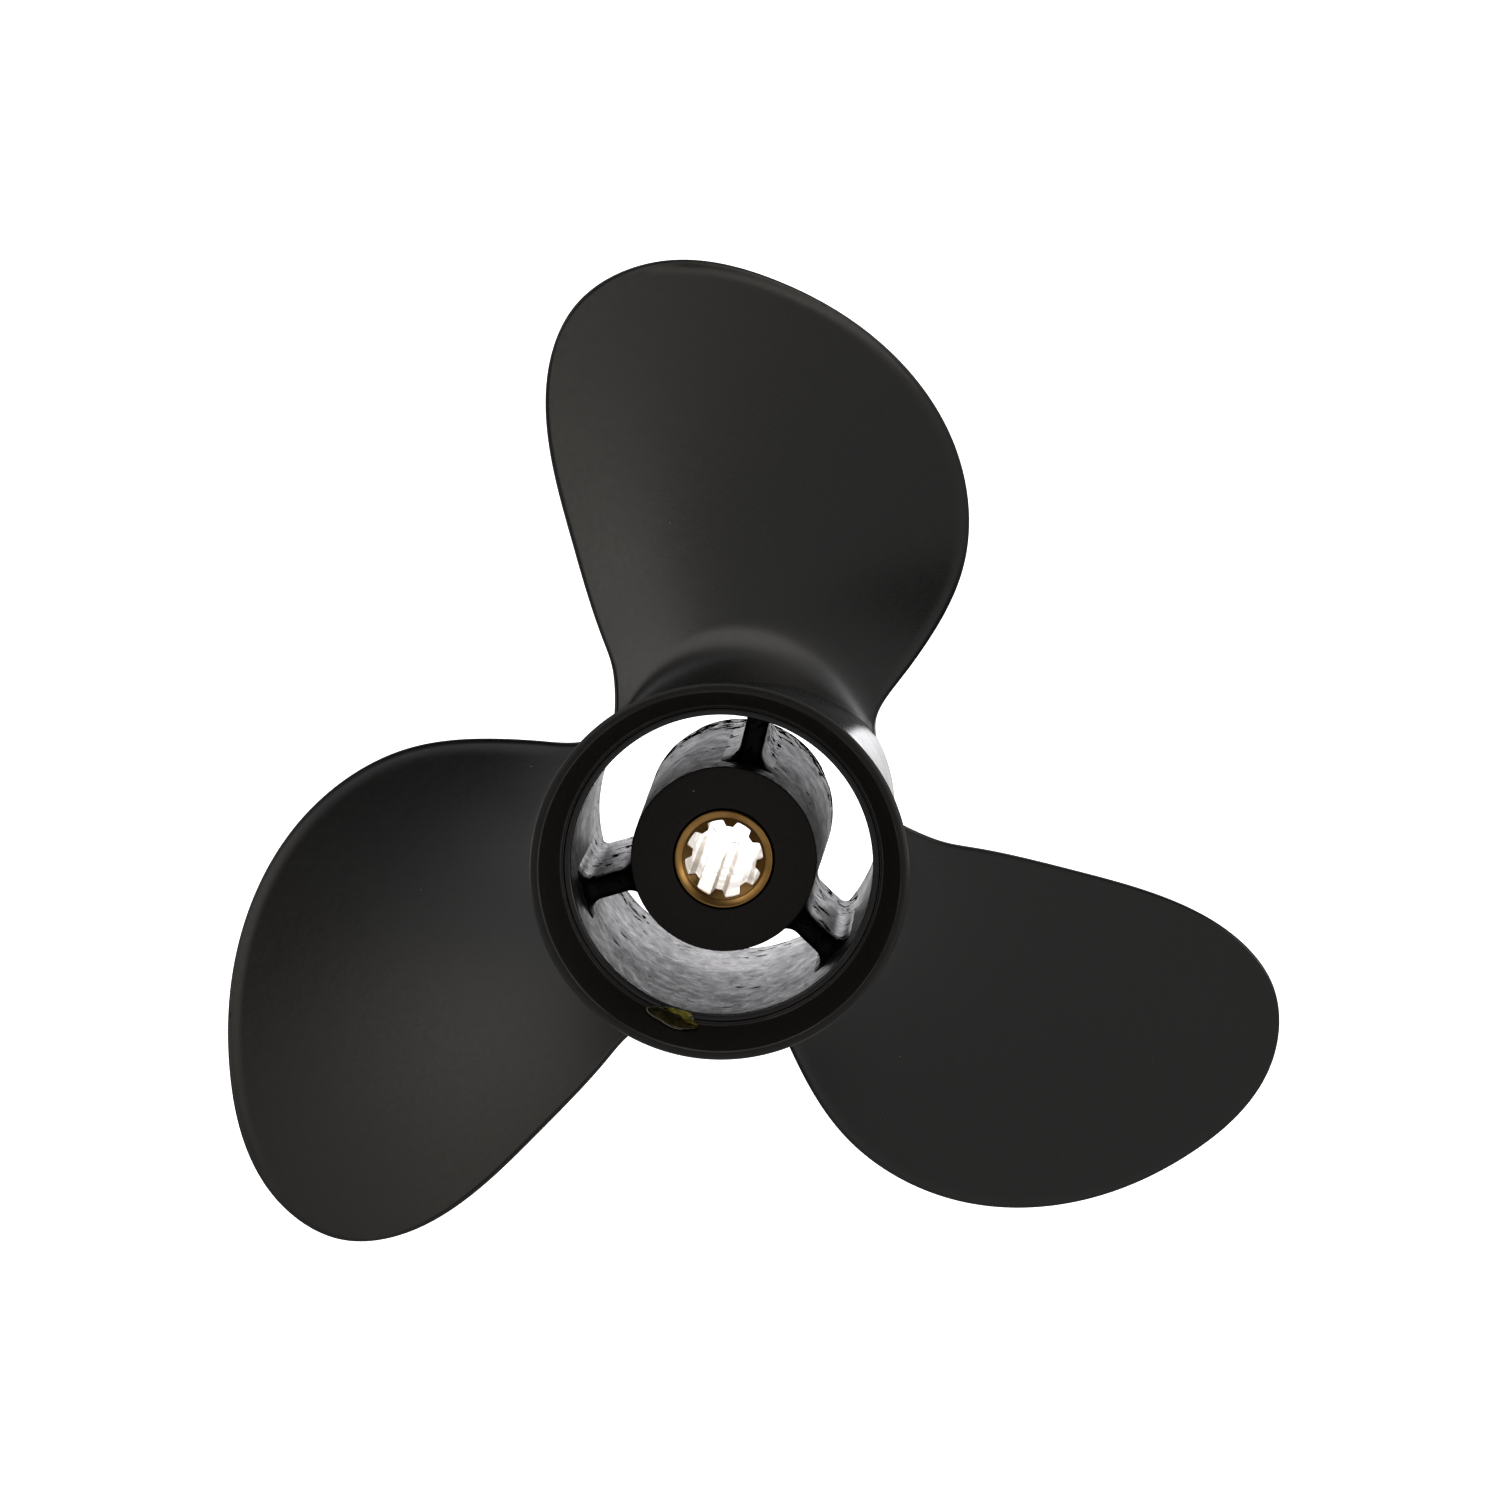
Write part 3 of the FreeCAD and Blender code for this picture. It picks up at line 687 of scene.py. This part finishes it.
def build_blade(index, material):
    """One blade: two smooth faces joined by a round rim, with its root fillets."""
    across, up = BLADE_ACROSS, BLADE_UP
    grid, curve, outward, picks = blade_domain(across, up)
    radius = np.hypot(grid[..., 0], grid[..., 1])
    angle = np.degrees(np.arctan2(grid[..., 0], grid[..., 1]))
    flat = grid.reshape(-1, 1, 2) - curve[None, ::6]
    rim_distance = np.sqrt((flat ** 2).sum(-1).min(1)).reshape(radius.shape) - RIM_REACH
    aft, forward = blade_faces(radius, angle, rim_distance)
    limit = BARREL_FRONT - 1.0    # no fillet passes the barrel's front end
    aft, forward = np.minimum(aft, limit - 0.5), np.minimum(forward, limit)
    flat_aft = np.stack([grid[..., 0], aft, grid[..., 1]], -1)
    flat_forward = np.stack([grid[..., 0], forward, grid[..., 1]], -1)
    # A round rim joins the two faces along the outline
    border = ([(i, 0) for i in range(up)] + [(up - 1, j) for j in range(1, across - 1)]
              + [(i, across - 1) for i in range(up - 1, -1, -1)])
    border_picks = np.concatenate([picks[0], picks[1][1:-1], picks[2][::-1]])
    out = np.stack([np.interp(border_picks, np.arange(len(curve)), outward[:, k]) for k in (0, 1)], -1)
    vertices = [flat_aft.reshape(-1, 3), flat_forward.reshape(-1, 3)]
    size = across * up
    faces = [tuple(reversed(f)) for f in grid_faces(up, across)]
    faces += grid_faces(up, across, start=size)
    lows = np.array([flat_aft[i, j] for i, j in border])
    highs = np.array([flat_forward[i, j] for i, j in border])
    rows = [[i * across + j for i, j in border]]
    for k in range(1, RIM_STEPS):
        turn = math.pi * k / RIM_STEPS
        ring = (lows + highs) / 2 + (lows - highs) / 2 * math.cos(turn)
        ring[:, [0, 2]] += out * RIM_REACH * math.sin(turn)
        rows.append([sum(len(v) for v in vertices) + m for m in range(len(border))])
        vertices.append(ring)
    rows.append([size + i * across + j for i, j in border])
    for first, second in zip(rows, rows[1:]):
        for m in range(len(border) - 1):
            faces.append((first[m], first[m + 1], second[m + 1], second[m]))
    # Closed at the root, inside the barrel's wall
    for j in range(across - 1):
        faces.append((j, j + 1, size + j + 1, size + j))
    faces.append(tuple(row[0] for row in rows))
    faces.append(tuple(row[-1] for row in reversed(rows)))
    points = np.concatenate(vertices)
    turn = math.radians(index * 120)
    spun = points.copy()
    spun[:, 0] = points[:, 0] * math.cos(turn) + points[:, 2] * math.sin(turn)
    spun[:, 2] = points[:, 2] * math.cos(turn) - points[:, 0] * math.sin(turn)
    return make_piece(f"blade_cast_{index + 1}", spun, faces, "propeller",
                      [f"blade_{index + 1}"], [material])


# ---------------------------------------------------------------- resin drop

def resin(name, light, dark, clear):
    """Dried resin, clear or cloudy, between two tints."""
    n = Nodes(name)
    cloud = n.noise(600, 3)
    n.set(Base_Color=n.mix(n.band(cloud, 0.35, 0.65), light, dark))
    n.set(Roughness=n.vary(cloud, 0.03, 0.10), Transmission_Weight=clear, IOR=1.5)
    n.set(Normal=n.bump(cloud, 0.00008))
    return n.material


def build_resin_drop(materials):
    """A dried drop of resin on the ring's throat, low on the left: clear, with a cloudy patch
    and a pale outer edge that is a painted highlight."""
    turns, layers = DROP_TURNS, DROP_LAYERS
    throat_slope = (BARREL_AFT - RING_AFT) / (RING_CREST - SPIGOT_RADIUS)
    turn = np.linspace(0, 2 * math.pi, turns, endpoint=False)
    wave = 1 + 0.12 * np.sin(3 * turn + 0.7) + 0.07 * np.sin(5 * turn)    # wavering outline
    rows = []
    for layer in range(layers + 1):
        reach = math.sin(math.pi / 2 * layer / layers)
        lift = math.cos(math.pi / 2 * layer / layers)
        along = DROP_LONG * reach * wave * np.cos(turn)
        deep = DROP_WIDE * reach * wave * np.sin(turn)
        radius = DROP_RADIUS + deep
        angle = DROP_ANGLE + np.degrees(along / DROP_RADIUS)
        throat = BARREL_AFT - (radius - SPIGOT_RADIUS) * throat_slope
        bump = DROP_HIGH * lift ** 0.6 + 0.05
        rows.append(polar(radius - 0.4 * bump, angle, np.minimum(throat, BARREL_AFT) - bump))
    under = rows[-1].copy()
    under[:, 1] += 0.5
    rows.append(under)
    faces = grid_faces(len(rows), turns, False, True)
    faces.append(tuple(reversed(range(turns * (len(rows) - 1), turns * len(rows)))))
    picks = []
    for face in faces:
        layer, step = divmod(face[0], turns)
        side, outward = math.cos(turn[step]), math.sin(turn[step])
        # Painted highlight: faces of the outer border get the pale material
        is_highlight_edge = layer >= layers - 2 and (outward > 0.35 or side > 0.8) and side > -0.4
        is_cloudy = side + 0.3 * math.sin(9 * outward) < 0.25 and outward < 0.3 and layer > 2
        picks.append(2 if is_highlight_edge else 1 if is_cloudy else 0)
    return make_piece("resin_drop", np.concatenate(rows), faces, "propeller",
                      [], materials, picks)


# ---------------------------------------------------------------- studio

def build_floor():
    """Pale floor, which glows far ahead of the object and looks evenly pale to the camera."""
    level, side = FLOOR_LEVEL, FLOOR_SIDE
    floor_mesh = bpy.data.meshes.new("floor")
    floor_mesh.from_pydata([(-side, -side, level), (side, -side, level), (side, side, level),
                            (-side, side, level)], [], [(0, 1, 2, 3)])
    floor = bpy.data.objects.new("floor", floor_mesh)
    bpy.context.scene.collection.objects.link(floor)
    n = Nodes("pale_floor")
    along = n.add("ShaderNodeSeparateXYZ", {0: n.place}).outputs["Y"]
    n.set(Base_Color=rgba(0.6, 0.6, 0.6), Roughness=0.9, Emission_Color=rgba(1, 1, 1))
    seen = n.math("MULTIPLY", n.add("ShaderNodeLightPath").outputs["Is Camera Ray"], FLOOR_EXTRA)
    n.set(Emission_Strength=n.math("ADD", n.band(along, *FLOOR_GLOW_PLACES, *FLOOR_GLOW), seen))
    floor_mesh.materials.append(n.material)


def build_surroundings():
    """Surroundings that light the object by soft zones, and that look plain white to the camera."""
    world = bpy.data.worlds.new("studio")
    bpy.context.scene.world = world
    world.use_nodes = True
    world.node_tree.nodes.clear()
    w = Tree(world.node_tree)
    place = w.add("ShaderNodeTexCoord").outputs["Generated"]
    total = None
    for direction, start, full, colour in SOFT_LIGHTS:
        aim = w.add("ShaderNodeVectorMath", {0: place, 1: Vector(direction).normalized()},
                    operation="DOT_PRODUCT").outputs["Value"]
        ramp = w.add("ShaderNodeMapRange", {
            "From Min": math.cos(math.radians(start)), "From Max": math.cos(math.radians(full)),
            "Value": aim}, interpolation_type="SMOOTHSTEP").outputs["Result"]
        tint = w.add("ShaderNodeVectorMath", {0: colour, "Scale": ramp}, operation="SCALE").outputs[0]
        total = w.add("ShaderNodeVectorMath", {0: total, 1: tint}).outputs[0] if total else tint
    light = w.add("ShaderNodeBackground", {"Color": total})
    plain = w.add("ShaderNodeBackground", {"Color": rgba(1, 1, 1), "Strength": BACKDROP})
    seen = w.add("ShaderNodeLightPath").outputs["Is Camera Ray"]
    mix = w.add("ShaderNodeMixShader", {"Fac": seen, 1: light.outputs[0], 2: plain.outputs[0]})
    w.add("ShaderNodeOutputWorld", {"Surface": mix.outputs[0]})


def build_camera():
    """Long lens almost straight from astern, a little above and to the right."""
    azimuth, elevation = math.radians(CAMERA_AZIMUTH), math.radians(CAMERA_ELEVATION)
    back = Vector((math.sin(azimuth) * math.cos(elevation), -math.cos(azimuth) * math.cos(elevation),
                   math.sin(elevation)))
    data = bpy.data.cameras.new("camera")
    data.sensor_width, data.lens = CAMERA_SENSOR, CAMERA_LENS
    camera = bpy.data.objects.new("camera", data)
    camera.location = Vector(CAMERA_AIM) + back * CAMERA_DISTANCE
    camera.rotation_euler = (-back).to_track_quat("-Z", "Y").to_euler()
    bpy.context.scene.collection.objects.link(camera)
    bpy.context.scene.camera = camera


bpy.context.scene.view_settings.view_transform = "Standard"
build_camera()
build_floor()
build_surroundings()
satin, matte = satin_black(), matte_ring()
# The last number of gloss_cast is where painted shade begins at the barrel's aft end
barrel_gloss, barrel_paint = smooth_gloss(), gloss_cast(
    "gloss_paint_in_barrel", 0.31, 0.45, 0.72, 0.56, BARREL_AFT + 3.5)
build_barrel(barrel_gloss, barrel_paint)
build_ring(matte)
build_hub(matte, gloss_cast("gloss_paint_on_hub", 0.38, 0.54, 0.66, 0.45, HUB_AFT))
build_bush(rubber())
build_sleeve(bronze())
# The third resin is a painted highlight for the drop's outer edge
build_resin_drop([resin("clear_resin", rgba(0.16, 0.14, 0.06), rgba(0.06, 0.055, 0.02), 1.0),
                  resin("cloudy_resin", rgba(0.45, 0.40, 0.06), rgba(0.05, 0.045, 0.008), 0.4),
                  resin("resin_edge_painted_highlight", rgba(0.8, 0.8, 0.7), rgba(0.5, 0.5, 0.4), 0.3)])
# The last number is where painted shade begins on the ribs' aft ends
rib_paint = gloss_cast("gloss_paint_on_ribs", 0.32, 0.5, 0.57, 0.50, -12.0)
for number in range(3):
    build_rib(number, rib_paint)
    build_blade(number, satin)
